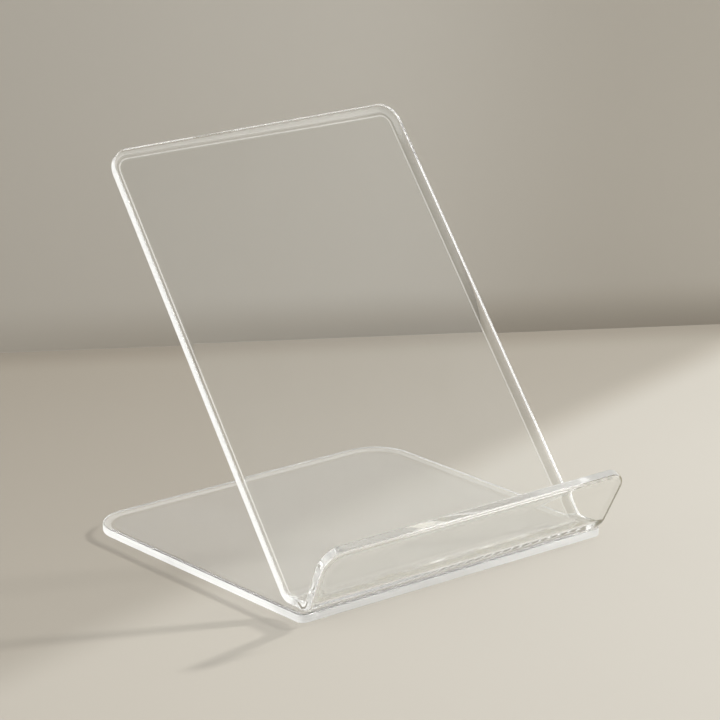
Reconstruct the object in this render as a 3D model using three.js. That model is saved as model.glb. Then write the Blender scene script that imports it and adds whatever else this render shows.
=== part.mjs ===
// Clear acrylic magazine stand: a flat base plate carries one sheet bent twice into a shallow
// trough, whose long limb is the leaning back panel and whose short limb is the lip that holds the
// magazine's foot. Millimetres. +X is the stand's right, -Y its front, +Z up, and the origin is the
// middle of the base plate's underside.
import * as THREE from 'three';
import { mergeVertices } from 'three/addons/utils/BufferGeometryUtils.js';

// ---- Driving sizes: millimetres and degrees ---------------------------------------------------

const standWidth = 216; // base plate, and the lip along its top edge
const footWidth = 209; // bent sheet across its flat strip, from where both limbs taper
const panelTopWidth = 202;
const baseDepth = 195; // front edge to rear edge
const baseThickness = 6;
const bentThickness = 6; // the sheet of the back panel and the lip

const panelLength = 260; // back panel's flat, from its bend to its top edge
const panelLean = 37; // from the vertical
const lipLength = 36; // lip's flat, from its bend to its top edge
const lipLean = 26; // from the vertical
const footStrip = 12; // flat that lies on the base plate between the two bends
const bendRadius = 4; // inside of each bend
const footSetback = 3.5; // base's front edge to the front of the flat strip

const panelCornerRadius = 12.5;
const lipCornerRadius = 13;
const rearCornerRadius = 24;
const frontCornerRadius = 5;

const arrisRadius = 0.8; // crisp edge of a rim, towards the base's top or the trough's inside
const shoulderReach = 7; // how far in from the rim the other face starts to fall away
const shoulderDrop = 1.8; // how much of the thickness that long polished shoulder takes

const cementThickness = 0.3; // film under the flat strip
const cementToe = 1.2; // spread of the film's squeezed-out edge beyond the strip, front and rear
const cementInset = 1; // film's ends to where the sheet's shoulders start to rise

// ---- Fineness of the round stretches ----------------------------------------------------------

const cornerSteps = 16;
const arrisSteps = 4;
const shoulderSteps = 9;
const bendSteps = 10;
const weldDistance = 1e-4; // corners closer than this are one

// ---- Sizes that follow ------------------------------------------------------------------------

const panelTurn = THREE.MathUtils.degToRad(90 - panelLean); // flat strip to the panel
const lipTurn = THREE.MathUtils.degToRad(90 - lipLean); // flat strip to the lip
const middleRadius = bendRadius + bentThickness / 2; // bend at mid-thickness
const blankStart = -(footStrip / 2 + lipTurn * middleRadius + lipLength);
const blankEnd = footStrip / 2 + panelTurn * middleRadius + panelLength;
const stripY = footSetback + footStrip / 2 - baseDepth / 2;
const stripZ = baseThickness + cementThickness + bentThickness / 2;

// ---- A sheet with a polished rim --------------------------------------------------------------

/** Quarter turn in equal steps, as angles from 0 to a right angle. */
function quarterTurn(steps) {
  return Array.from({ length: steps + 1 }, (_, step) => (step / steps) * (Math.PI / 2));
}

/** Steps round a sheet's rim from its upper face to its lower: inset and offset from mid-thickness. */
function rimProfile(thickness) {
  const arris = quarterTurn(arrisSteps).map((angle) => ({
    inset: arrisRadius * (1 - Math.sin(angle)),
    offset: thickness / 2 - arrisRadius * (1 - Math.cos(angle)),
  }));
  const shoulder = quarterTurn(shoulderSteps).map((angle) => ({
    inset: shoulderReach * (1 - Math.cos(angle)),
    offset: shoulderDrop * (1 - Math.sin(angle)) - thickness / 2,
  }));
  return [...arris, ...shoulder];
}

/** The blank's outline, drawn in by inset, as rungs: a half width x at a length s along the blank. */
function outlineRungs(blank, inset) {
  const side = blank.width / 2 - inset;
  const corner = (radius, end, inward) => {
    const drawnIn = Math.max(radius - inset, 0);
    return quarterTurn(cornerSteps).map((angle) => ({
      x: side - drawnIn * (1 - Math.sin(angle)),
      s: end + inward * (inset + drawnIn * (1 - Math.cos(angle))),
    }));
  };
  return [
    ...corner(blank.startRadius, blank.start, 1),
    ...blank.foldRows.map((s) => ({ x: side, s })),
    ...corner(blank.endRadius, blank.end, -1).reverse(),
  ];
}

/** Closed sheet: the blank's rungs at every step of its rim, laid in space by place(x, s, offset). */
function polishedSheet(blank, place) {
  const profile = rimProfile(blank.thickness);
  const positions = [];
  for (const { inset, offset } of profile) {
    for (const { x, s } of outlineRungs(blank, inset)) {
      positions.push(...place(x, s, offset), ...place(-x, s, offset));
    }
  }
  const rungCount = positions.length / profile.length / 6;
  const right = (level, rung) => 2 * (level * rungCount + rung);
  const left = (level, rung) => right(level, rung) + 1;

  const indices = [];
  const quad = (a, b, c, d) => indices.push(a, b, c, a, c, d);
  const last = profile.length - 1;
  for (let rung = 0; rung + 1 < rungCount; rung += 1) {
    quad(right(0, rung), right(0, rung + 1), left(0, rung + 1), left(0, rung));
    quad(right(last, rung), left(last, rung), left(last, rung + 1), right(last, rung + 1));
  }
  for (let level = 0; level < last; level += 1) {
    const loop = (vertex) => Array.from({ length: rungCount }, (_, rung) => vertex(level, rung));
    const upper = [...loop(right), ...loop(left).reverse()];
    const step = 2 * rungCount; // from a vertex to the one below it on the rim
    upper.forEach((here, index) => {
      const next = upper[(index + 1) % upper.length];
      quad(here, here + step, next + step, next);
    });
  }
  return closedGeometry(positions, indices);
}

/** Indexed geometry with coincident vertices joined and the triangles that vanish left out. */
function closedGeometry(positions, indices) {
  const loose = new THREE.BufferGeometry();
  loose.setAttribute('position', new THREE.Float32BufferAttribute(positions, 3));
  loose.setIndex(indices);
  const joined = mergeVertices(loose, weldDistance);
  const corners = joined.index.array;
  const kept = [];
  for (let i = 0; i < corners.length; i += 3) {
    const [a, b, c] = corners.slice(i, i + 3);
    if (a !== b && b !== c && c !== a) kept.push(a, b, c);
  }
  joined.setIndex(kept);
  joined.computeVertexNormals();
  return joined;
}

// ---- Base plate -------------------------------------------------------------------------------

function basePlate() {
  const blank = {
    width: standWidth,
    thickness: baseThickness,
    start: -baseDepth / 2,
    end: baseDepth / 2,
    startRadius: frontCornerRadius,
    endRadius: rearCornerRadius,
    foldRows: [],
  };
  const plate = new THREE.Mesh(
    polishedSheet(blank, (x, s, offset) => [x, s, offset]),
    new THREE.MeshStandardMaterial({
      color: 0xf4f5f1,
      roughness: 0.06,
      metalness: 0,
      transparent: true,
      opacity: 0.3,
    }),
  );
  plate.name = 'base_plate';
  plate.position.z = baseThickness / 2;
  return plate;
}

// ---- Back panel and lip: one tapered blank bent along two lines -------------------------------

/** How wide the bent sheet's blank is at s, as a share of its width at the lip's top. */
function taper(s) {
  const tip = s < 0 ? standWidth : panelTopWidth;
  const end = s < 0 ? blankStart : blankEnd;
  return THREE.MathUtils.lerp(footWidth, tip, s / end) / standWidth;
}

/** Where a point of the flat blank goes once its limbs are bent up, s running from lip to panel. */
function bent(x, s, offset) {
  const limb = Math.sign(s);
  const flat = Math.min(Math.abs(s), footStrip / 2);
  const beyond = Math.abs(s) - flat;
  const turn = Math.min(beyond / middleRadius, limb < 0 ? lipTurn : panelTurn);
  const run = beyond - turn * middleRadius;
  const radius = middleRadius - offset;
  return [
    x * taper(s),
    limb * (flat + radius * Math.sin(turn) + run * Math.cos(turn)),
    middleRadius - radius * Math.cos(turn) + run * Math.sin(turn),
  ];
}

/** Lengths along the blank at which one bend is stepped, from the strip's edge outwards. */
function bendRows(limb, turn) {
  return Array.from({ length: bendSteps + 1 }, (_, step) => {
    return limb * (footStrip / 2 + (step / bendSteps) * turn * middleRadius);
  });
}

function backPanelWithLip() {
  const blank = {
    width: standWidth,
    thickness: bentThickness,
    start: blankStart,
    end: blankEnd,
    startRadius: lipCornerRadius,
    endRadius: panelCornerRadius,
    foldRows: [...bendRows(-1, lipTurn).reverse(), 0, ...bendRows(1, panelTurn)],
  };
  const sheet = new THREE.Mesh(
    polishedSheet(blank, bent),
    new THREE.MeshStandardMaterial({
      color: 0xf6f7f4,
      roughness: 0.05,
      metalness: 0,
      transparent: true,
      opacity: 0.3,
    }),
  );
  sheet.name = 'back_panel_with_lip';
  sheet.position.set(0, stripY, stripZ);
  return sheet;
}

// ---- Cement between the flat strip and the base plate -----------------------------------------

/** Film of cement as wide as the strip, with a squeezed-out toe along its front and its rear. */
function cementBead() {
  const top = footStrip / 2;
  const foot = top + cementToe;
  const section = new THREE.Shape();
  section.moveTo(-foot, 0);
  section.lineTo(foot, 0);
  section.quadraticCurveTo(top + cementToe / 3, cementThickness / 4, top, cementThickness);
  section.lineTo(-top, cementThickness);
  section.quadraticCurveTo(-top - cementToe / 3, cementThickness / 4, -foot, 0);
  section.closePath();

  const length = footWidth - 2 * (shoulderReach + cementInset);
  const geometry = new THREE.ExtrudeGeometry(section, {
    depth: length,
    bevelEnabled: false,
    curveSegments: 6,
  });
  geometry.translate(0, 0, -length / 2);
  const bead = new THREE.Mesh(
    geometry,
    new THREE.MeshStandardMaterial({
      color: 0xe9ebe6,
      roughness: 0.12,
      metalness: 0,
      transparent: true,
      opacity: 0.4,
    }),
  );
  bead.name = 'cement_bead';
  bead.rotation.set(0, Math.PI / 2, Math.PI / 2); // the section's x lies along Y, its depth along X
  bead.position.set(0, stripY, baseThickness);
  return bead;
}

const stand = new THREE.Group();
stand.add(basePlate(), backPanelWithLip(), cementBead());

export default stand;
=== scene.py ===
"""Clear acrylic magazine stand: a base plate, one sheet bent twice, and the cement between them."""

import logging
import math
from collections.abc import Iterable, Mapping, Sequence
from dataclasses import dataclass
from enum import Enum
from typing import NamedTuple

import bmesh
import bpy
from bpy.types import Material, Mesh, NodeTree, Object
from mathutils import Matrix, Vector


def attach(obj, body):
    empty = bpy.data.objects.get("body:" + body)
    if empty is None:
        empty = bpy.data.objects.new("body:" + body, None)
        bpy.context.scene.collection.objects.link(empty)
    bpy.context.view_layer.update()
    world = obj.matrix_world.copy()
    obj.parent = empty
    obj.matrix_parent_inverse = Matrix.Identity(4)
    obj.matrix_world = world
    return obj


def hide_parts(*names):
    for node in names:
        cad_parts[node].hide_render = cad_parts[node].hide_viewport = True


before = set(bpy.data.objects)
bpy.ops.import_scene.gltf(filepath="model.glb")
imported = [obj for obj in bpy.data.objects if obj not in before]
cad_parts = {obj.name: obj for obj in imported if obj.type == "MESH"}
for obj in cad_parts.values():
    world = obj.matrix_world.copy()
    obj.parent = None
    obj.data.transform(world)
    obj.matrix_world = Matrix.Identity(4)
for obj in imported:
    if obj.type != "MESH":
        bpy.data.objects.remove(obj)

log = logging.getLogger("magazine_stand")

Colour = tuple[float, float, float]
Point = tuple[float, float, float]
Span = tuple[float, float]
Ramp = tuple[float, float, float, float]  # from, to, and the value at each

INSET = "inset"  # attribute: how far a corner of a sheet is drawn in from the sheet's edge
RIM_FACE = "rim_face"  # attribute: above nought on the faces of a rim
BORDER = 0.0003  # narrow strip beside a curve, which keeps the normals of a flat face true
VIEW_AZIMUTH = math.radians(39.327)


class Slot(Enum):
    """The record's material slots."""

    ACRYLIC = "clear_acrylic"
    CEMENT = "cement"


class End(Enum):
    """An end of the stand, as the sign of Y there."""

    FRONT = -1
    REAR = 1


# ---- Node graphs ----


class Socket:
    """One output of a node, on which arithmetic adds Math nodes."""

    def __init__(self, graph: "Graph", node: bpy.types.Node, key: str | int = 0) -> None:
        """Wrap the node's output of that name or place."""
        self.graph, self.node, self.key = graph, node, key

    def out(self, key: str | int) -> "Socket":
        """The same node's output of that name or place."""
        return Socket(self.graph, self.node, key)

    def apply(self, operation: str, *others: "Socket | float") -> "Socket":
        """Add a Math node that takes this socket first and the others after it."""
        return self.graph.maths(operation, self, *others)

    def __add__(self, other: "Socket | float") -> "Socket":
        """Sum."""
        return self.apply("ADD", other)

    def __radd__(self, other: float) -> "Socket":
        """Sum with a number on the left."""
        return self.graph.maths("ADD", other, self)

    def __sub__(self, other: "Socket | float") -> "Socket":
        """Difference."""
        return self.apply("SUBTRACT", other)

    def __rsub__(self, other: float) -> "Socket":
        """Difference with a number on the left."""
        return self.graph.maths("SUBTRACT", other, self)

    def __mul__(self, other: "Socket | float") -> "Socket":
        """Product."""
        return self.apply("MULTIPLY", other)

    def __rmul__(self, other: float) -> "Socket":
        """Product with a number on the left."""
        return self.graph.maths("MULTIPLY", other, self)

    def __truediv__(self, other: "Socket | float") -> "Socket":
        """Quotient."""
        return self.apply("DIVIDE", other)

    def ramp(self, low: float, high: float, at_low: float = 0.0, at_high: float = 1.0) -> "Socket":
        """Ease from one value to another as this socket rises.

        Args:
            low: Where the ramp starts.
            high: Where it ends.
            at_low: Value at and below low.
            at_high: Value at and above high.

        Returns:
            The eased value.
        """
        return self.graph.add(
            "ShaderNodeMapRange",
            {"interpolation_type": "SMOOTHSTEP"},
            {"Value": self, "From Min": low, "From Max": high, "To Min": at_low, "To Max": at_high},
        ).out("Result")

    def fade(self, low: float, high: float) -> "Socket":
        """Ease from one to nought as this socket rises."""
        return self.ramp(low, high, 1.0, 0.0)


class Graph:
    """A node tree that is filled through one method."""

    def __init__(self, tree: NodeTree) -> None:
        """Start on a tree, which is emptied first."""
        self.tree = tree
        tree.nodes.clear()

    def add(
        self,
        kind: str,
        settings: Mapping[str, object] | None = None,
        sockets: Mapping[str | int, object] | None = None,
    ) -> Socket:
        """Add one node.

        Args:
            kind: The node's type.
            settings: Its properties, with "stops" for a ramp's rising positions and colours.
            sockets: Values or links for its inputs, by name or place. A colour needs no alpha.

        Returns:
            The node's first output.
        """
        node = self.tree.nodes.new(kind)
        for name, value in (settings or {}).items():
            if name != "stops":
                setattr(node, name, value)
                continue
            elements = node.color_ramp.elements
            while len(elements) < len(value):
                elements.new(1.0)
            for element, (position, colour) in zip(elements, value):
                element.position, element.color = position, (*colour, 1.0)
        for key, value in (sockets or {}).items():
            entry = node.inputs[key]
            if isinstance(value, Socket):
                self.tree.links.new(value.node.outputs[value.key], entry)
            else:
                entry.default_value = (*value, 1.0) if entry.type == "RGBA" else value
        return Socket(self, node)

    def maths(self, operation: str, *terms: Socket | float) -> Socket:
        """Add a Math node, with its inputs in order."""
        return self.add("ShaderNodeMath", {"operation": operation}, dict(enumerate(terms)))

    def axes(self, vector: Socket) -> tuple[Socket, Socket, Socket]:
        """The X, Y and Z of a vector."""
        parts = self.add("ShaderNodeSeparateXYZ", {}, {0: vector})
        return parts.out("X"), parts.out("Y"), parts.out("Z")


@dataclass(frozen=True)
class Grain:
    """A pattern of noise.

    The scale is in waves to the metre, the stretch is the share of it along each axis, and the turn
    is in radians. The levels, if any, are the terms of a ramp that the noise goes through.
    """

    scale: float
    detail: float = 2.0
    stretch: Point = (1.0, 1.0, 1.0)
    turn: Point = (0.0, 0.0, 0.0)
    levels: Span | Ramp | None = None


class Glass(NamedTuple):
    """Refraction of a clear stuff, depth of its relief in metres, and how clear it is."""

    refraction: float
    relief: float
    clearness: float = 1.0


class Surface(Graph):
    """The node tree of a material."""

    def __init__(self, name: str) -> None:
        """Make the material.

        Args:
            name: The material's name.
        """
        self.material = bpy.data.materials.new(name)
        self.material.use_nodes = True
        super().__init__(self.material.node_tree)
        self.place = self.add("ShaderNodeTexCoord").out("Object")

    def noise(self, grain: Grain) -> Socket:
        """Lay a pattern of noise on the object's own coordinates.

        Args:
            grain: The pattern.

        Returns:
            The noise, about 0.5, or what its levels make of it.
        """
        turned = {"Vector": self.place, "Rotation": grain.turn, "Scale": grain.stretch}
        place = self.add("ShaderNodeMapping", {}, turned)
        scaled = {"Vector": place, "Scale": grain.scale, "Detail": grain.detail}
        noise = self.add("ShaderNodeTexNoise", {}, scaled)
        return noise.ramp(*grain.levels) if grain.levels else noise

    def blend(self, share: Socket, first: Colour | Socket, second: Colour | Socket) -> Socket:
        """Mix two colours by the share of the second, through a Mix node's colour sockets."""
        sockets = {0: share, 6: first, 7: second}
        return self.add("ShaderNodeMix", {"data_type": "RGBA"}, sockets).out(2)

    def bump(self, height: Socket, distance: float) -> Socket:
        """A normal from a height, one unit of which stands for that distance in metres."""
        return self.add("ShaderNodeBump", {}, {"Height": height, "Distance": distance})

    def principled(self, sockets: Mapping[str, object]) -> Socket:
        """A Principled shader with those inputs."""
        return self.add("ShaderNodeBsdfPrincipled", {}, sockets)

    def glass(self, look: Glass, colour: Socket, roughness: Socket, height: Socket) -> Socket:
        """A shader that light bends through.

        Args:
            look: How it bends light, and how deep its relief is.
            colour: Its colour.
            roughness: Its roughness.
            height: Its relief.

        Returns:
            The shader.
        """
        return self.principled(
            {
                "Base Color": colour,
                "Roughness": roughness,
                "IOR": look.refraction,
                "Transmission Weight": look.clearness,
                "Normal": self.bump(height, look.relief),
            }
        )

    def mix(self, share: Socket, first: Socket, second: Socket) -> Socket:
        """Mix two shaders by the share of the second."""
        return self.add("ShaderNodeMixShader", {}, {0: share, 1: first, 2: second})

    def clear(self, share: float = 1.0) -> Socket:
        """A shader that lets that share of the light straight through."""
        return self.add("ShaderNodeBsdfTransparent", {}, {"Color": (share, share, share)})

    def pass_lamps(self, shader: Socket, share: float) -> Socket:
        """Let light straight through a clear shader, so that the piece casts a pale shadow.

        Args:
            shader: The shader that is seen.
            share: Share of the light that passes one face.

        Returns:
            The mixed shader.
        """
        path = self.add("ShaderNodeLightPath")
        for ray in ("Is Diffuse Ray", "Is Shadow Ray"):
            shader = self.mix(path.out(ray), shader, self.clear(share))
        return shader

    def shade_lamps(self, shader: Socket, where: Socket, share: float) -> Socket:
        """Let less of the lamps' light through in some places, for darker lines in the shadow.

        Args:
            shader: The shader that passes the light.
            where: One where the shadow is darker, nought elsewhere.
            share: Share of the light that passes one face there.

        Returns:
            The mixed shader.
        """
        clear = self.clear(share)
        factor = self.add("ShaderNodeLightPath").out("Is Shadow Ray") * where
        return self.mix(factor, shader, clear)

    def finish(self, shader: Socket) -> Material:
        """Join a shader to the material's output and give the finished material."""
        self.add("ShaderNodeOutputMaterial", {}, {"Surface": shader})
        return self.material


# ---- Finishes ----


@dataclass(frozen=True)
class AcrylicFinish:
    """Clear cast acrylic, with the traces that cutting, polishing and wiping leave on it."""

    name: str
    tint: Colour = (0.985, 0.99, 0.985)
    smudge_tint: Colour = (0.97, 0.975, 0.965)
    haze_colour: Colour = (0.93, 0.94, 0.97)
    smudges: Grain = Grain(17.0, 5.0, (1.0, 0.6, 0.6), levels=(0.48, 0.72))
    hairlines: Grain = Grain(260.0, 2.0, (0.02, 1.0, 1.0), (0.0, 0.35, 0.5), (0.68, 0.74))
    crossing: Grain = Grain(310.0, 2.0, (1.0, 0.025, 0.025), (0.3, 0.0, 0.9), (0.69, 0.75))
    ripples: Grain = Grain(24.0)
    glass: Glass = Glass(1.49, 1.5e-6)
    groove_share: float = 0.02
    roughness: float = 0.003
    smudge_roughness: float = 0.012
    scratch_roughness: float = 0.05
    haze: float = 0.0
    haze_least: float = 0.85
    haze_smudged: float = 0.3
    haze_roughness: float = 0.7
    lamp_pass: float = 0.97

    def build(self) -> Material:
        """Make the material.

        Returns:
            The material.
        """
        surface = Surface(self.name)
        smudges = surface.noise(self.smudges)
        scratches = surface.noise(self.hairlines) + surface.noise(self.crossing)
        height = surface.noise(self.ripples) - scratches * self.groove_share
        roughness = self.roughness + smudges * self.smudge_roughness
        roughness = roughness + scratches * self.scratch_roughness
        colour = surface.blend(smudges, self.tint, self.smudge_tint)
        glass = surface.glass(self.glass, colour, roughness, height)
        dull = {"Base Color": self.haze_colour, "Roughness": self.haze_roughness}
        haze = surface.principled(dull)
        share = (smudges * self.haze_smudged + self.haze_least) * self.haze
        return surface.finish(surface.pass_lamps(surface.mix(share, glass, haze), self.lamp_pass))


@dataclass(frozen=True)
class RimFinish:
    """The same acrylic on a polished rim.

    The sawn edge has a frosting and glows a little. The frosting fades out to the right, so the
    left
    edge is paler: painted light where light shines out of it. A pale line, a painted highlight,
    shows where the shoulder ends. Between the two the shoulder has painted shade at the right, and
    a pale band of painted light at the back. On the lip the frosting on the edge clears to the
    left, the edge is tinted with painted shade, the painted highlight line runs close beside it,
    and the right end has painted shade. The rim shades the lamps, but not low down, nor where it is
    open. Each span is in metres, across the rim, across the stand or along it, and says where
    something comes or goes.
    """

    name: str
    tint: Colour = (0.985, 0.99, 0.985)
    # Painted shade: tints that darken the glass on the right shoulder and on the lip's edge.
    painted_shade_tint: Colour = (0.62, 0.62, 0.59)
    lip_painted_shade_tint: Colour = (0.70, 0.70, 0.68)
    # Colour of the painted shade at the lip's right end.
    end_shade_colour: Colour = (0.24, 0.22, 0.15)
    # Colour of the painted highlight line, also used for the painted light band.
    highlight_colour: Colour = (0.94, 0.93, 0.89)
    edge_colour: Colour = (0.95, 0.97, 0.99)
    # Share of the edge's frosting; it fades to the right, which paints the light shining out of the
    # left edge.
    edge_mist: float = 0.85
    painted_light_edge_reach: Span = (1.0, 0.0)
    highlight_share: float = 0.5
    light_band_share: float = 0.36
    lip_highlight_share: float = 0.7
    lip_edge_mist: float = 0.5
    end_shade_share: float = 0.85
    glow: float = 0.45
    front: Span = (-0.09, -0.082)
    sides: Span = (-0.1, 0.1)
    # Spans of the painted highlight line.
    line_inset: Span = (0.0049, 0.0065)
    line_in: Span = (-0.0007, -0.0002)
    line_out: Span = (0.0002, 0.0007)
    edge_out: Span = (0.00001, 0.0003)
    edge_left: Span = (-0.1, -0.096)
    shade_in: Span = (0.0004, 0.0016)
    shade_out: Span = (-0.0010, -0.0005)
    shade_right: Span = (0.07, 0.095)
    # Spans of the painted light band.
    band_in: Span = (0.0001, 0.0012)
    band_out: Span = (-0.0026, -0.0012)
    band_rear: Span = (0.064, 0.074)
    lip_line_in: Span = (0.0003, 0.0007)
    lip_line_out: Span = (0.0012, 0.0022)
    lip_edge_right: Span = (0.0, 0.075)
    end_shade_out: Span = (0.0008, 0.0022)
    end_shade_right: Span = (0.0995, 0.1025)
    open_front: Span = (-0.09, -0.082)
    open_right: Span = (-0.075, -0.055)
    open_low: Span = (0.002, 0.0045)
    patches: Grain = Grain(70.0, 3.0, levels=(0.35, 0.7))
    buffing: Grain = Grain(900.0, stretch=(0.05, 1.0, 1.0))
    sawing: Grain = Grain(1500.0, stretch=(0.012, 0.012, 1.0), levels=(0.4, 0.62, 0.93, 1.0))
    glass: Glass = Glass(1.49, 1e-7)
    roughness: float = 0.015
    patch_roughness: float = 0.012
    patch_share: float = 0.2
    mist_roughness: float = 0.6
    mist_patches: float = 0.1
    mist_gloss: float = 0.3
    face_pass: float = 0.97
    lamp_pass: float = 0.45

    def build(self) -> Material:
        """Make the material.

        Returns:
            The material.
        """
        surface = Surface(self.name)
        inset = surface.add("ShaderNodeAttribute", {"attribute_name": INSET}).out("Fac")
        across, along, up = surface.axes(surface.place)
        behind = along.ramp(*self.front)
        on_lip = 1.0 - behind
        patches = surface.noise(self.patches)
        sawing = surface.noise(self.sawing)

        edge = inset.fade(*self.edge_out)
        # Painted highlight: a pale line where the shoulder ends.
        line_at = inset - across.ramp(*self.sides, *self.line_inset)
        line = line_at.ramp(*self.line_in) * line_at.fade(*self.line_out) * behind
        # Painted shade on the shoulder at the right.
        shade = inset.ramp(*self.shade_in) * line_at.fade(*self.shade_out)
        shade = shade * across.ramp(*self.shade_right) * behind
        # Painted light: a pale band on the shoulder at the back.
        band = inset.ramp(*self.band_in) * line_at.fade(*self.band_out)
        band = band * along.ramp(*self.band_rear)
        # Painted highlight: a pale line beside the lip's edge.
        lip_line = inset.ramp(*self.lip_line_in) * inset.fade(*self.lip_line_out) * on_lip
        # The lip's edge: tinted with painted shade, and with a frosting towards the right.
        lip_edge = edge * on_lip
        # Painted shade: the lip's right end is made nearly opaque and brown-olive.
        end_shade = inset.fade(*self.end_shade_out) * on_lip * across.ramp(*self.end_shade_right)

        # The glass's tint carries the painted shade on the right shoulder and on the lip's edge.
        tint_with_painted_shade = surface.blend(shade, self.tint, self.painted_shade_tint)
        tint_with_painted_shade = surface.blend(lip_edge, tint_with_painted_shade, self.lip_painted_shade_tint)
        roughness = self.roughness + patches * self.patch_roughness
        glass = surface.glass(self.glass, tint_with_painted_shade, roughness, surface.noise(self.buffing))
        # The pale shader: the edge's real frosting, with the painted highlight, the painted light
        # band and the painted shade at the lip's end.
        frost_and_highlight_colour = surface.blend(edge, self.highlight_colour, self.edge_colour)
        frost_and_painted_light = surface.principled(
            {
                "Base Color": surface.blend(end_shade, frost_and_highlight_colour, self.end_shade_colour),
                "Roughness": self.mist_roughness + patches * self.mist_patches,
                "Specular IOR Level": self.mist_gloss,
            }
        )
        glow = surface.add("ShaderNodeBsdfTranslucent", {}, {"Color": self.edge_colour})
        glowing_frost_and_painted_light = surface.mix(edge * (1.0 - end_shade) * self.glow, frost_and_painted_light, glow)

        lines = line * self.highlight_share + lip_line * self.lip_highlight_share
        lines = lines * (patches * self.patch_share + (1.0 - self.patch_share))
        # The sawn edge's frosting, paler on the left: a real finish, and painted light where light
        # shines out of the left edge.
        edges = edge * behind * across.ramp(*self.edge_left, *self.painted_light_edge_reach) * sawing
        lip_mist = lip_edge * across.ramp(*self.lip_edge_right, 0.0, self.lip_edge_mist)
        # Share of the pale shader: frosting, painted highlight, painted light and painted shade.
        share = lines + edges * self.edge_mist + band * self.light_band_share + lip_mist
        share = share * (1.0 - end_shade) + end_shade * self.end_shade_share
        passing = surface.pass_lamps(surface.mix(share, glass, glowing_frost_and_painted_light), self.face_pass)

        opened = along.fade(*self.open_front) * across.ramp(*self.open_right)
        shading = 1.0 - opened.apply("MAXIMUM", up.fade(*self.open_low))
        return surface.finish(surface.shade_lamps(passing, shading, self.lamp_pass))


@dataclass(frozen=True)
class CementFinish:
    """Solvent cement that has dried clear under the sheet and cream along its squeezed-out toe."""

    name: str = "dried cement"
    clear: Colour = (0.985, 0.982, 0.97)
    cream: Colour = (0.95, 0.93, 0.84)
    pools: Grain = Grain(150.0, 4.0, levels=(0.42, 0.66))
    grain: Grain = Grain(500.0)
    glass: Glass = Glass(1.47, 3e-7)
    roughness: float = 0.02
    pool_roughness: float = 0.02
    cream_roughness: float = 0.4
    cream_pools: float = 0.1
    toe: Span = (-0.0943, -0.0939)
    toe_share: float = 0.8
    toe_pools: float = 0.15
    lamp_pass: float = 0.9

    def build(self) -> Material:
        """Make the material.

        Returns:
            The material.
        """
        surface = Surface(self.name)
        _, along, _ = surface.axes(surface.place)
        pools = surface.noise(self.pools)
        colour = surface.blend(pools, self.clear, self.cream)
        roughness = self.roughness + pools * self.pool_roughness
        glass = surface.glass(self.glass, colour, roughness, surface.noise(self.grain))
        roughness = self.cream_roughness + pools * self.cream_pools
        cream = surface.principled({"Base Color": self.cream, "Roughness": roughness})
        patchy = (1.0 - self.toe_pools) + pools * self.toe_pools
        share = along.fade(*self.toe) * patchy * self.toe_share
        return surface.finish(surface.pass_lamps(surface.mix(share, glass, cream), self.lamp_pass))


@dataclass(frozen=True)
class BubbleFinish:
    """The bright skin of an air bubble caught in the cement."""

    name: str = "cement bubble"
    pale: Colour = (0.93, 0.93, 0.9)
    deep: Colour = (0.8, 0.8, 0.77)
    mottle: Grain = Grain(2600.0, levels=(0.35, 0.65))
    glass: Glass = Glass(1.33, 2e-6, 0.7)
    roughness: float = 0.08
    mottle_roughness: float = 0.1

    def build(self) -> Material:
        """Make the material.

        Returns:
            The material.
        """
        surface = Surface(self.name)
        mottle = surface.noise(self.mottle)
        colour = surface.blend(mottle, self.pale, self.deep)
        roughness = self.roughness + mottle * self.mottle_roughness
        return surface.finish(surface.glass(self.glass, colour, roughness, mottle))


# ---- Sheet stock ----


def quarter_turn(steps: int) -> list[Span]:
    """One less the sine and one less the cosine, in equal steps to a right angle."""
    angles = (math.pi / 2 * step / steps for step in range(steps + 1))
    return [(1 - math.sin(angle), 1 - math.cos(angle)) for angle in angles]


@dataclass(frozen=True)
class RimShape:
    """Section of a polished rim: a crisp arris on one side and a long low shoulder on the other."""

    arris: float = 0.0008
    shoulder_reach: float = 0.007
    shoulder_drop: float = 0.0018
    arris_steps: int = 6
    shoulder_steps: int = 16

    def steps(self, thickness: float) -> list[Span]:
        """Steps round the rim from the upper face to the lower.

        Args:
            thickness: The sheet's thickness.

        Returns:
            Each step's inset from the edge and its height above mid-thickness, with a narrow
            flat border at each end.
        """
        half = thickness / 2
        arris = [
            (self.arris * less_sine, half - self.arris * less_cosine)
            for less_sine, less_cosine in quarter_turn(self.arris_steps)
        ]
        shoulder = [
            (self.shoulder_reach * less_cosine, self.shoulder_drop * less_sine - half)
            for less_sine, less_cosine in quarter_turn(self.shoulder_steps)
        ]
        return [
            (self.arris + BORDER, half),
            *arris,
            *shoulder,
            (self.shoulder_reach + BORDER, -half),
        ]

    def covers(self, inset: float, upward: float) -> bool:
        """Whether a face at that mean inset is on the rim, on the side that it looks to."""
        return inset < (self.arris if upward > 0 else self.shoulder_reach)


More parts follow.
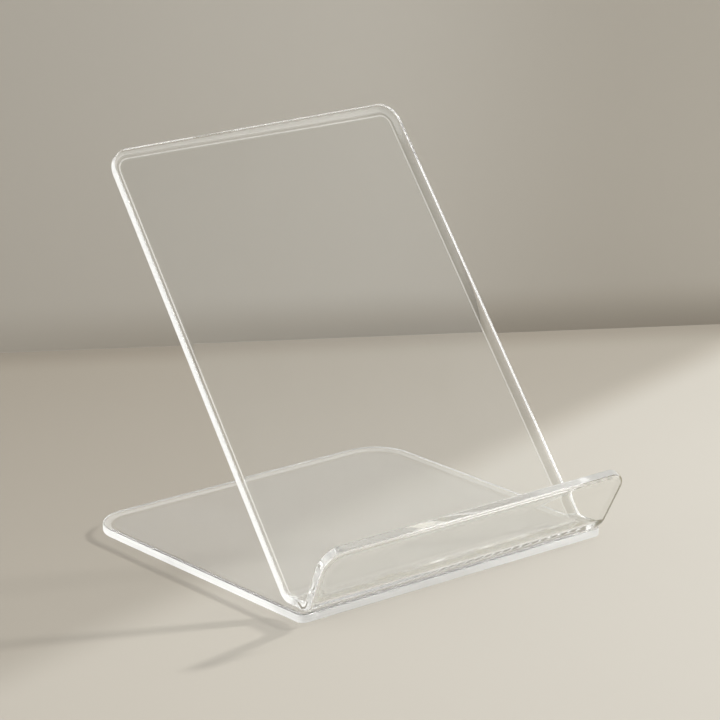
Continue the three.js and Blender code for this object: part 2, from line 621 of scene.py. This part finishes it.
@dataclass(frozen=True)
class Blank:
    """A flat cut sheet: x across it, y along it and z through its thickness, from its middle."""

    name: str
    width: float
    thickness: float
    start: float
    end: float
    start_radius: float
    end_radius: float
    rows: tuple[float, ...] = ()
    rim: RimShape = RimShape()
    corner_steps: int = 24
    weld: float = 1e-6
    sliver: float = 1e-7

    def rungs(self, inset: float) -> list[Span]:
        """The outline drawn in by inset, as half widths at lengths along the blank.

        Args:
            inset: How far the outline is drawn in.

        Returns:
            Pairs of half width and length, from the start to the end.
        """
        side = self.width / 2 - inset
        turn = quarter_turn(self.corner_steps)

        def corner(radius: float, end: float, inward: int) -> list[Span]:
            """Rungs round one corner, from the blank's end to its side."""
            bow = max(radius - inset, 0.0)
            return [(side - bow * s, end + inward * (inset + bow * c)) for s, c in turn]

        return [
            *corner(self.start_radius, self.start, 1),
            *((side, row) for row in self.rows),
            *reversed(corner(self.end_radius, self.end, -1)),
        ]

    def mesh(self) -> Mesh:
        """Build the closed sheet, with each corner's inset as an attribute.

        Returns:
            The sheet's mesh.
        """
        form = bmesh.new()
        layer = form.verts.layers.float.new(INSET)
        loops: list[list[bmesh.types.BMVert]] = []
        for inset, offset in self.rim.steps(self.thickness):
            rungs = self.rungs(inset)
            ring = [(x, s) for x, s in rungs] + [(-x, s) for x, s in reversed(rungs)]
            loop = [form.verts.new((x, s, offset)) for x, s in ring]
            for corner in loop:
                corner[layer] = inset
            loops.append(loop)
        for outer, inner in zip(loops, loops[1:]):
            join_loops(form, outer, inner)
        for loop in (loops[0], loops[-1]):
            for low in range(len(loop) // 2 - 1):
                form.faces.new((loop[low], loop[low + 1], loop[-low - 2], loop[-low - 1]))
        bmesh.ops.remove_doubles(form, verts=form.verts, dist=self.weld)
        bmesh.ops.dissolve_degenerate(form, edges=form.edges, dist=self.sliver)
        for face in form.faces:
            face.smooth = True
        return mesh_from(form, self.name)


def join_loops(form: bmesh.types.BMesh, one: list, other: list) -> None:
    """Join two closed loops of as many corners with a band of faces."""
    for corners in zip(one, other, other[1:] + other[:1], one[1:] + one[:1]):
        form.faces.new(corners)


def mesh_from(form: bmesh.types.BMesh, name: str) -> Mesh:
    """Turn a closed form into a mesh whose faces point outwards.

    Args:
        form: The form, which is freed.
        name: The mesh's name.

    Returns:
        The mesh.
    """
    bmesh.ops.recalc_face_normals(form, faces=form.faces)
    mesh = bpy.data.meshes.new(name)
    form.to_mesh(mesh)
    form.free()
    return mesh


def add_object(name: str, data: bpy.types.ID) -> Object:
    """Put an object in the scene, at the origin.

    Args:
        name: Its name.
        data: Its mesh, lamp or camera.

    Returns:
        The object.
    """
    thing = bpy.data.objects.new(name, data)
    bpy.context.scene.collection.objects.link(thing)
    return thing


def hand_over(piece: Object, slot: Slot, replaced: Iterable[str] = ()) -> None:
    """Attach a piece to the root body and hide the CAD nodes it stands for.

    Args:
        piece: The finished piece.
        slot: Not used.
        replaced: CAD nodes it stands for.
    """
    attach(piece, "root")
    for node in replaced:
        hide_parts(node)


def apply_tree(piece: Object, tree: NodeTree, values: Mapping[str, object]) -> None:
    """Run a geometry tree on a piece and keep the result as its plain mesh.

    Args:
        piece: The piece.
        tree: The tree.
        values: What its named inputs are set to.
    """
    name = piece.data.name
    modifier = piece.modifiers.new(tree.name, "NODES")
    modifier.node_group = tree
    sockets = {s.name: s.identifier for s in tree.interface.items_tree if s.in_out == "INPUT"}
    for label, value in values.items():
        modifier[sockets[label]] = value
    graph = bpy.context.evaluated_depsgraph_get()
    result = bpy.data.meshes.new_from_object(piece.evaluated_get(graph))
    piece.modifiers.remove(modifier)
    piece.data = result
    result.name = name


class GeometryTree(Graph):
    """A Geometry Nodes tree with named inputs."""

    KINDS = {float: "NodeSocketFloat", int: "NodeSocketInt", Material: "NodeSocketMaterial"}

    def __init__(self, name: str, inputs: Mapping[str, type]) -> None:
        """Make the tree with a geometry input and output.

        Args:
            name: The tree's name.
            inputs: Its other inputs and what each takes.
        """
        tree = bpy.data.node_groups.new(name, "GeometryNodeTree")
        super().__init__(tree)
        for way in ("INPUT", "OUTPUT"):
            tree.interface.new_socket("Geometry", in_out=way, socket_type="NodeSocketGeometry")
        for label, kind in inputs.items():
            tree.interface.new_socket(label, in_out="INPUT", socket_type=self.KINDS[kind])
        self.inputs = self.add("NodeGroupInput")

    def given(self, label: str) -> Socket:
        """The input of that name."""
        return self.inputs.out(label)

    def stored(self, name: str) -> Socket:
        """The attribute of that name."""
        kind = {"data_type": "FLOAT"}
        return self.add("GeometryNodeInputNamedAttribute", kind, {"Name": name}).out("Attribute")

    def close(self, geometry: Socket, *materials: tuple[Socket, Socket | bool]) -> NodeTree:
        """End the tree with Realize Instances and Set Material.

        Args:
            geometry: The finished shape.
            *materials: Each material with the faces it goes on.

        Returns:
            The tree.
        """
        shape = self.add("GeometryNodeRealizeInstances", {}, {"Geometry": geometry})
        for material, faces in materials:
            sockets = {"Geometry": shape, "Selection": faces, "Material": material}
            shape = self.add("GeometryNodeSetMaterial", {}, sockets)
        self.add("NodeGroupOutput", {}, {0: shape})
        return self.tree


# ---- Base plate ----


@dataclass
class BasePlate:
    """The flat plate that lies on the table."""

    face: Material
    rim: Material
    width: float = 0.216
    depth: float = 0.195
    thickness: float = 0.006
    rear_corner: float = 0.024
    front_corner: float = 0.005

    def build(self) -> Object:
        """Cut the plate and lay it down.

        Returns:
            The plate.
        """
        blank = Blank(
            "base plate",
            self.width,
            self.thickness,
            -self.depth / 2,
            self.depth / 2,
            self.front_corner,
            self.rear_corner,
        )
        mesh = blank.mesh()
        for vertex in mesh.vertices:
            vertex.co.z += self.thickness / 2
        self.dress(mesh, blank.rim)
        piece = add_object("base_plate_clear", mesh)
        hand_over(piece, Slot.ACRYLIC, ["base_plate"])
        return piece

    def dress(self, mesh: Mesh, shape: RimShape) -> None:
        """Give the faces and the rim their finishes.

        Args:
            mesh: The plate's mesh.
            shape: The rim's section, which divides the two.
        """
        mesh.materials.append(self.face)
        mesh.materials.append(self.rim)
        insets = [point.value for point in mesh.attributes[INSET].data]
        for polygon in mesh.polygons:
            inset = sum(insets[i] for i in polygon.vertices) / len(polygon.vertices)
            polygon.material_index = int(shape.covers(inset, polygon.normal.z))


# ---- Back panel and lip ----


@dataclass
class BentSheet:
    """The back panel and the lip: one tapered blank bent up along two lines."""

    face: Material
    rim: Material
    lip_top_width: float = 0.216
    foot_width: float = 0.209
    panel_top_width: float = 0.202
    thickness: float = 0.006
    panel_length: float = 0.260
    lip_length: float = 0.036
    panel_lean: float = math.radians(37)
    lip_lean: float = math.radians(26)
    foot_strip: float = 0.012
    bend_radius: float = 0.004
    panel_corner: float = 0.0125
    lip_corner: float = 0.013
    strip_y: float = -0.088
    strip_z: float = 0.0093
    bend_steps: int = 26

    def __post_init__(self) -> None:
        """Work out the sizes that follow."""
        self.middle_radius = self.bend_radius + self.thickness / 2
        self.panel_turn = math.pi / 2 - self.panel_lean
        self.lip_turn = math.pi / 2 - self.lip_lean
        half = self.foot_strip / 2
        self.start = -(half + self.lip_turn * self.middle_radius + self.lip_length)
        self.end = half + self.panel_turn * self.middle_radius + self.panel_length

    def bend_rows(self, end: End, turn: float) -> list[float]:
        """Lengths along the blank at which a bend is stepped.

        Args:
            end: The front end for the lip's bend, the rear one for the panel's.
            turn: The bend's whole turn.

        Returns:
            The lengths, from the strip outwards.
        """
        first, span = self.foot_strip / 2, turn * self.middle_radius
        steps = self.bend_steps
        bend = [first + span * step / steps for step in range(steps + 1)]
        return [end.value * row for row in (first - BORDER, *bend, first + span + BORDER)]

    def sizes(self, rim: RimShape) -> dict[str, float]:
        """The sizes that the bending tree takes, by the names of its inputs.

        Args:
            rim: The rim's section.

        Returns:
            The sizes.
        """
        return {
            "Half strip": self.foot_strip / 2,
            "Middle radius": self.middle_radius,
            "Lip turn": self.lip_turn,
            "Panel turn": self.panel_turn,
            "Lip end": -self.start,
            "Panel end": self.end,
            "Foot share": self.foot_width / self.lip_top_width,
            "Lip share": 1.0,
            "Panel share": self.panel_top_width / self.lip_top_width,
            "Strip Y": self.strip_y,
            "Strip Z": self.strip_z,
            "Arris": rim.arris,
            "Shoulder": rim.shoulder_reach,
        }

    def tree(self, sizes: Iterable[str]) -> NodeTree:
        """Make the tree that tapers the blank and bends its limbs up from the strip.

        Args:
            sizes: Names of the sizes it takes.

        Returns:
            The tree.
        """
        finishes = {"Face": Material, "Rim": Material}
        tree = GeometryTree("bend up the limbs", {**dict.fromkeys(sizes, float), **finishes})
        given = tree.given
        across, along, through = tree.axes(tree.add("GeometryNodeInputPosition"))
        limb, away = along.apply("SIGN"), along.apply("ABSOLUTE")
        lip = along.apply("LESS_THAN", 0.0)

        def by_limb(panel: str, other: str) -> Socket:
            """The one size on the panel and the other on the lip."""
            return given(panel) + lip * (given(other) - given(panel))

        middle, foot = given("Middle radius"), given("Foot share")
        flat = away.apply("MINIMUM", given("Half strip"))
        beyond = away - flat
        turn = (beyond / middle).apply("MINIMUM", by_limb("Panel turn", "Lip turn"))
        run = beyond - turn * middle
        radius = middle - through
        sine, cosine = turn.apply("SINE"), turn.apply("COSINE")
        out = flat + radius * sine + run * cosine
        raised = middle - radius * cosine + run * sine
        taper = (by_limb("Panel share", "Lip share") - foot) * (
            away / by_limb("Panel end", "Lip end")
        )
        place = {
            "X": across * (foot + taper),
            "Y": given("Strip Y") + limb * out,
            "Z": given("Strip Z") + raised,
        }
        placed = tree.add("ShaderNodeCombineXYZ", {}, place)

        _, _, upward = tree.axes(tree.add("GeometryNodeInputNormal"))
        above = upward.apply("GREATER_THAN", 0.0)
        reach = given("Shoulder") + above * (given("Arris") - given("Shoulder"))
        marked = tree.add(
            "GeometryNodeStoreNamedAttribute",
            {"data_type": "FLOAT", "domain": "FACE"},
            {"Geometry": given("Geometry"), "Name": RIM_FACE, "Value": reach - tree.stored(INSET)},
        )
        bent = {"Geometry": marked, "Position": placed}
        shape = tree.add("GeometryNodeSetPosition", {}, bent)
        on_rim = tree.stored(RIM_FACE).apply("GREATER_THAN", 0.0)
        return tree.close(shape, (given("Face"), True), (given("Rim"), on_rim))

    def build(self) -> Object:
        """Cut the blank, bend it and set it on the cement.

        Returns:
            The bent sheet.
        """
        rows = (
            *reversed(self.bend_rows(End.FRONT, self.lip_turn)),
            0.0,
            *self.bend_rows(End.REAR, self.panel_turn),
        )
        blank = Blank(
            "back panel with lip",
            self.lip_top_width,
            self.thickness,
            self.start,
            self.end,
            self.lip_corner,
            self.panel_corner,
            rows,
        )
        piece = add_object("bent_sheet_clear", blank.mesh())
        sizes = self.sizes(blank.rim)
        apply_tree(piece, self.tree(sizes), {**sizes, "Face": self.face, "Rim": self.rim})
        hand_over(piece, Slot.ACRYLIC, ["back_panel_with_lip"])
        return piece


# ---- Cement line ----


@dataclass
class CementLine:
    """The film of cement under the strip, squeezed out a little along its front and its rear."""

    film: Material
    bubble: Material
    length: float = 0.193
    strip: float = 0.012
    toe: float = 0.0011
    toe_mean: float = 0.85
    toe_swing: float = 0.05
    waves: tuple[Span, ...] = ((130.0, 1.0), (310.0, 0.5))
    curve: tuple[Span, ...] = ((1.0, 0.0), (0.55, 0.16), (0.2, 0.5), (0.0, 1.0))
    y: float = -0.088
    bottom: float = 0.00602
    top: float = 0.00628
    stations: int = 120
    bubble_density: float = 2500.0
    bubble_radius: float = 0.00008
    bubble_shares: Span = (0.35, 1.0)
    bubble_seed: int = 7
    bubble_margins: Span = (0.002, 0.0006)

    def toe_reach(self, x: float, end: End) -> float:
        """How far the film is squeezed out at one place along it.

        Args:
            x: The place.
            end: Its front or its rear.

        Returns:
            The reach beyond the strip.
        """
        wave = sum(
            height * math.sin(x * rate + shift * end.value)
            for shift, (rate, height) in enumerate(self.waves, start=1)
        )
        return self.toe * (self.toe_mean + self.toe_swing * wave)

    def section(self, x: float) -> list[Point]:
        """One cross-section of the film.

        Args:
            x: Where along it.

        Returns:
            Its corners, in order round it.
        """
        half, rise = self.strip / 2, self.top - self.bottom
        points = [(0.0, self.bottom)]
        for end in (End.REAR, End.FRONT):
            reach = self.toe_reach(x, end)
            curve = [
                (end.value * (half + reach * out), self.bottom + rise * up)
                for out, up in self.curve
            ]
            points += curve if end is End.REAR else [(0.0, self.top), *reversed(curve)]
        return [(x, self.y + across, up) for across, up in points]

    def build_film(self) -> Object:
        """Lay the film.

        Returns:
            The film.
        """
        form = bmesh.new()
        rings = []
        for station in range(self.stations + 1):
            x = -self.length / 2 + self.length * station / self.stations
            rings.append([form.verts.new(point) for point in self.section(x)])
        for left, right in zip(rings, rings[1:]):
            join_loops(form, left, right)
        form.faces.new(rings[0])
        form.faces.new(list(reversed(rings[-1])))
        mesh = mesh_from(form, "cement film")
        mesh.materials.append(self.film)
        piece = add_object("cement_film", mesh)
        hand_over(piece, Slot.CEMENT, ["cement_bead"])
        return piece

    def bubble_tree(self) -> NodeTree:
        """Make the tree that scatters bubbles over a patch.

        Returns:
            The tree, with their number, size and seed as its inputs.
        """
        inputs = {"Density": float, "Radius": float, "Seed": int, "Material": Material}
        tree = GeometryTree("scatter bubbles", inputs)
        given = tree.given
        points = tree.add(
            "GeometryNodeDistributePointsOnFaces",
            {},
            {"Mesh": given("Geometry"), "Density": given("Density"), "Seed": given("Seed")},
        )
        ball = tree.add(
            "GeometryNodeMeshIcoSphere", {}, {"Radius": given("Radius"), "Subdivisions": 2}
        )
        smallest, largest = self.bubble_shares
        shares = tree.add(
            "FunctionNodeRandomValue",
            {"data_type": "FLOAT"},
            {2: smallest, 3: largest, "Seed": given("Seed")},
        ).out(1)
        dots = tree.add(
            "GeometryNodeInstanceOnPoints",
            {},
            {"Points": points, "Instance": ball, "Scale": shares},
        )
        return tree.close(dots, (given("Material"), True))

    def build_bubbles(self) -> Object:
        """Scatter small bubbles through the film.

        Returns:
            The bubbles, as one piece.
        """
        end_margin, side_margin = self.bubble_margins
        x, y = self.length / 2 - end_margin, self.strip / 2 - side_margin
        middle = (self.bottom + self.top) / 2
        corners = [(-x, -y), (x, -y), (x, y), (-x, y)]
        patch = flat_mesh("cement bubbles", [(a, self.y + b, middle) for a, b in corners])
        piece = add_object("cement_bubbles", patch)
        values = {
            "Density": self.bubble_density,
            "Radius": self.bubble_radius,
            "Seed": self.bubble_seed,
            "Material": self.bubble,
        }
        apply_tree(piece, self.bubble_tree(), values)
        hand_over(piece, Slot.CEMENT)
        return piece

    def build(self) -> list[Object]:
        """Lay the film and its bubbles."""
        return [self.build_film(), self.build_bubbles()]


def flat_mesh(name: str, corners: Sequence[Point]) -> Mesh:
    """Make a mesh of one four-sided face.

    Args:
        name: The mesh's name.
        corners: Its four corners, anticlockwise as seen.

    Returns:
        The mesh.
    """
    mesh = bpy.data.meshes.new(name)
    mesh.from_pydata(corners, [], [(0, 1, 2, 3)])
    return mesh


# ---- Studio ----


def aim(thing: Object, place: Vector, target: Vector) -> None:
    """Stand a lamp or the camera in its place, turned to its target."""
    thing.location = place
    thing.rotation_euler = (target - place).to_track_quat("-Z", "Y").to_euler()


@dataclass(frozen=True)
class SkyPatch:
    """A soft bright patch in the room light.

    Its bearing in degrees is counted to the right from the side that the camera is on.
    """

    bearing: float
    height: float
    level: float
    narrow: float = 30.0

    def toward(self, away: Vector, right: Vector) -> Point:
        """Where the patch is.

        Args:
            away: Level direction from the camera to the stand.
            right: Level direction to the camera's right.

        Returns:
            Its direction from the stand.
        """
        bearing, height = math.radians(self.bearing), math.radians(self.height)
        level = (right * math.sin(bearing) - away * math.cos(bearing)) * math.cos(height)
        return level.x, level.y, math.sin(height)


@dataclass(frozen=True)
class Camera:
    """Where the stand is looked at from. Its focal length and shift are in widths of the frame."""

    azimuth: float = VIEW_AZIMUTH
    elevation: float = math.radians(16.651)
    distance: float = 1.8038
    height: float = 0.108
    focal: float = 3256.3 / 720
    shift: Span = (16.8 / 720, -10.7 / 720)
    sensor: float = 36.0

    def build(self) -> Object:
        """Set the camera up.

        Returns:
            The camera.
        """
        lens = bpy.data.cameras.new("camera")
        lens.sensor_width = self.sensor
        lens.lens = self.focal * self.sensor
        lens.shift_x, lens.shift_y = self.shift
        target = Vector((0.0, 0.0, self.height))
        flat = self.distance * math.cos(self.elevation)
        rise = self.distance * math.sin(self.elevation)
        offset = Vector((-flat * math.sin(self.azimuth), -flat * math.cos(self.azimuth), rise))
        camera = add_object("camera", lens)
        aim(camera, target + offset, target)
        bpy.context.scene.camera = camera
        return camera


@dataclass
class Studio:
    """Pale table top and wall, with painted light and shade, a low key lamp and uneven room light.

    A slope gives a quantity on the table by its rise to the right, its rise to the back, and its
    value at the stand. A roughness is its least and what a pattern adds to it.
    """

    room: Colour = (1.0, 0.99, 0.97)
    room_level: float = 0.06
    patches: tuple[SkyPatch, ...] = (
        *(SkyPatch(bearing, 8, level) for bearing, level in ((90, 2.9), (-85, 5.6))),
        *(
            SkyPatch(bearing, 30, level)
            for bearing, level in (
                (-165, 0.97), (-105, 1.5), (-75, 1.6), (-45, 1.57), (-15, 1.42),
                (15, 1.7), (75, 1.15), (105, 0.34), (135, 1.6),
            )
        ),
        SkyPatch(30, 56, 2.0, narrow=18.0),
        SkyPatch(150, 56, 1.15, narrow=18.0),
        SkyPatch(106, 33, 1.8, narrow=120.0),
    )
    key_place: Point = (1.95, -0.15, 1.1)
    key_target: Point = (0.0, 0.0, 0.1)
    key_colour: Colour = (1.0, 0.985, 0.95)
    key_strength: float = 2.6
    key_spread: float = math.radians(5.0)
    paint: tuple[tuple[float, Colour], ...] = (
        (0.0, (0.0, 0.0, 0.0)),
        (0.30, (0.337, 0.305, 0.258)),
        (0.38, (0.416, 0.386, 0.337)),
        (0.46, (0.498, 0.468, 0.414)),
        (0.65, (0.681, 0.660, 0.610)),
        (1.0, (1.0, 1.0, 0.97)),
    )
    # Painted light and shade on the table: a soft edge between a painted pool of light and painted
    # shade, and the levels on either side.
    light_edge: Point = (1.0, -0.737, 0.013)
    light_fade: Span = (-0.03, 0.03)
    unlit: Point = (0.186, -0.058, 0.377)
    lit: Point = (0.267, 0.056, 0.506)
    lit_most: float = 0.74
    # Painted shade on the table along the foot of the wall.
    wall_line: Point = (0.14, -1.0, 0.385)
    shade_by_wall: Ramp = (0.0, 0.05, 0.82, 1.0)
    # Painted shade on the wall: darker at its foot, and higher up towards the left and the right.
    wall_foot_shade: Ramp = (-0.28, 0.25, 0.480, 0.348)
    wall_left: Ramp = (-0.3, 0.0, 0.546, 0.605)
    wall_right: Ramp = (0.0, 0.2, 0.0, 0.111)
    wall_rise: Span = (0.0, 0.036)
    table_grain: Grain = Grain(700.0, 3.0)
    table_mottle: Grain = Grain(3.0, 4.0)
    wall_mottle: Grain = Grain(2.0, 3.0)
    mottling: float = 0.03
    table_relief: float = 0.00002
    table_roughness: Span = (0.8, 0.1)
    wall_roughness: Span = (0.85, 0.05)
    gloss: float = 0.1
    table_half: float = 4.0
    table_z: float = -0.0002
    wall_ends: tuple[Span, Span] = ((0.35, -0.25), (0.42, 0.25))
    wall_more: Span = (1.2, 0.6)
    wall_height: float = 0.3
    bounces: int = 96
    clear_bounces: int = 16

    def __post_init__(self) -> None:
        """Work out the level directions away from the camera and to its right."""
        self.away = Vector((math.sin(VIEW_AZIMUTH), math.cos(VIEW_AZIMUTH), 0.0))
        self.right = Vector((math.cos(VIEW_AZIMUTH), -math.sin(VIEW_AZIMUTH), 0.0))

    def plan(self, surface: Surface) -> tuple[Socket, Socket, Socket]:
        """Where a point of a backdrop is.

        Args:
            surface: The backdrop's material.

        Returns:
            Its distances to the right of the stand, behind it and above the table.
        """
        x, y, up = surface.axes(surface.place)
        across = x * self.right.x + y * self.right.y
        back = x * self.away.x + y * self.away.y
        return across, back, up

    def painted(self, surface: Surface, level: Socket, mottle: Socket) -> Socket:
        """Colour of the warm pale paint at a level of brightness, which carries the painted light
        and shade.

        Args:
            surface: The material it is for.
            level: The brightness.
            mottle: Noise that varies it a little.

        Returns:
            The colour.
        """
        varied = level * (mottle * self.mottling + (1.0 - self.mottling / 2))
        return surface.add("ShaderNodeValToRGB", {"stops": self.paint}, {0: varied}).out("Color")

    def table_finish(self) -> Material:
        """Table top in warm pale paint, with painted light and shade in its colour: paler to the
        right, where a pool of light is painted, and darker by the wall.

        Returns:
            The material.
        """
        surface = Surface("table top")
        across, back, _ = self.plan(surface)

        def slope(terms: Point) -> Socket:
            """A quantity that rises evenly over the table."""
            return across * terms[0] + back * terms[1] + terms[2]

        # Painted light and shade: a pool of light to the right and in front of a soft edge, painted
        # shade behind it.
        unlit = slope(self.unlit)
        lit = slope(self.lit).apply("MINIMUM", self.lit_most)
        level = unlit + slope(self.light_edge).ramp(*self.light_fade) * (lit - unlit)
        # Painted shade along the foot of the wall.
        level = level * slope(self.wall_line).ramp(*self.shade_by_wall)
        grain = surface.noise(self.table_grain)
        least, more = self.table_roughness
        shader = surface.principled(
            {
                "Base Color": self.painted(surface, level, surface.noise(self.table_mottle)),
                "Roughness": least + grain * more,
                "Specular IOR Level": self.gloss,
                "Normal": surface.bump(grain, self.table_relief),
            }
        )
        return surface.finish(shader)

    def wall_finish(self) -> Material:
        """Wall in warm pale paint, with painted shade in its colour: darker towards the table and
        towards the left and the right, seen from the stand's side only.

        Returns:
            The material.
        """
        surface = Surface("wall")
        across, _, up = self.plan(surface)
        # Painted shade: darker towards the table, and higher up towards the left and the right.
        foot = across.ramp(*self.wall_foot_shade)
        high = across.ramp(*self.wall_left) - across.ramp(*self.wall_right)
        level = foot + (high - foot) * up.ramp(*self.wall_rise)
        mottle = surface.noise(self.wall_mottle)
        least, more = self.wall_roughness
        shader = surface.principled(
            {
                "Base Color": self.painted(surface, level, mottle),
                "Roughness": least + mottle * more,
                "Specular IOR Level": self.gloss,
            }
        )
        from_behind = surface.add("ShaderNodeNewGeometry").out("Backfacing")
        return surface.finish(surface.mix(from_behind, shader, surface.clear()))

    def backdrop(self, name: str, corners: Sequence[Point], finish: Material) -> Object:
        """Lay out one flat backdrop.

        Args:
            name: Its name.
            corners: Its four corners, anticlockwise as seen.
            finish: Its material.

        Returns:
            The backdrop.
        """
        mesh = flat_mesh(name, corners)
        mesh.materials.append(finish)
        piece = add_object(name, mesh)
        return piece

    def wall_corners(self) -> list[Point]:
        """Corners of the wall, which runs on past its two ends.

        Returns:
            The corners.
        """
        ends = (self.away * back + self.right * side for back, side in self.wall_ends)
        left_end, right_end = ends
        along = (right_end - left_end).normalized()
        first = left_end - along * self.wall_more[0]
        last = right_end + along * self.wall_more[1]
        tall = Vector((0.0, 0.0, self.wall_height))
        return [tuple(first), tuple(last), tuple(last + tall), tuple(first + tall)]

    def room_light(self) -> bpy.types.World:
        """Light the room: an even level with soft bright patches.

        Returns:
            The world that gives the light.
        """
        world = bpy.data.worlds.new("room")
        world.use_nodes = True
        room = Graph(world.node_tree)
        look = room.add("ShaderNodeTexCoord").out("Generated")
        level: Socket | float = self.room_level
        for patch in self.patches:
            facing = room.add(
                "ShaderNodeVectorMath",
                {"operation": "DOT_PRODUCT"},
                {0: look, 1: patch.toward(self.away, self.right)},
            ).out("Value")
            level = level + ((facing - 1.0) * patch.narrow).apply("EXPONENT") * patch.level
        light = {"Color": self.room, "Strength": level}
        lit = room.add("ShaderNodeBackground", {}, light)
        room.add("ShaderNodeOutputWorld", {}, {"Surface": lit})
        return world

    def hang_key(self) -> None:
        """Hang the key lamp, a far one that shines on the stand from the right."""
        light = bpy.data.lights.new("key", "SUN")
        light.energy, light.angle = self.key_strength, self.key_spread
        light.color = self.key_colour
        aim(add_object("key", light), Vector(self.key_place), Vector(self.key_target))

    def build(self) -> None:
        """Lay the table, raise the wall, and hang the key lamp and the room light."""
        half, z = self.table_half, self.table_z
        corners = [(-half, -half, z), (half, -half, z), (half, half, z), (-half, half, z)]
        self.backdrop("table_top", corners, self.table_finish())
        wall = self.backdrop("wall", self.wall_corners(), self.wall_finish())
        wall.visible_shadow = False
        self.hang_key()
        scene = bpy.context.scene
        scene.world = self.room_light()
        scene.view_settings.view_transform = "Standard"
        scene.cycles.max_bounces = self.bounces
        scene.cycles.glossy_bounces = self.bounces
        scene.cycles.transmission_bounces = self.bounces
        scene.cycles.transparent_max_bounces = self.clear_bounces


def main() -> None:
    """Build the stand and log each piece's face count, then set up the camera and its studio."""
    logging.basicConfig(level=logging.INFO, format="%(message)s")
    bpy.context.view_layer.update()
    face = AcrylicFinish("clear acrylic").build()
    base_face = AcrylicFinish("base plate acrylic", haze=0.06).build()
    rim = RimFinish("polished acrylic rim").build()
    # The base plate's rim: lighter painted shade, no painted highlight line, the painted light band
    # all round, and its edge frosting kept on the right too.
    base_rim = RimFinish(
        "base plate rim",
        painted_shade_tint=(0.9, 0.9, 0.88),
        highlight_share=0.0,
        edge_mist=0.9,
        painted_light_edge_reach=(1.0, 0.55),
        light_band_share=0.3,
        band_rear=(-1.01, -1.0),
        line_inset=(0.0066, 0.0066),
        front=(-0.204, -0.196),
        open_front=(0.2, 0.208),
        open_right=(-0.104, -0.084),
        lamp_pass=0.35,
    ).build()
    pieces = [
        BasePlate(base_face, base_rim).build(),
        BentSheet(face, rim).build(),
        *CementLine(CementFinish().build(), BubbleFinish().build()).build(),
    ]
    for piece in pieces:
        log.info("%s: %d faces", piece.name, len(piece.data.polygons))
    Camera().build()
    Studio().build()


if __name__ == "__main__":
    main()
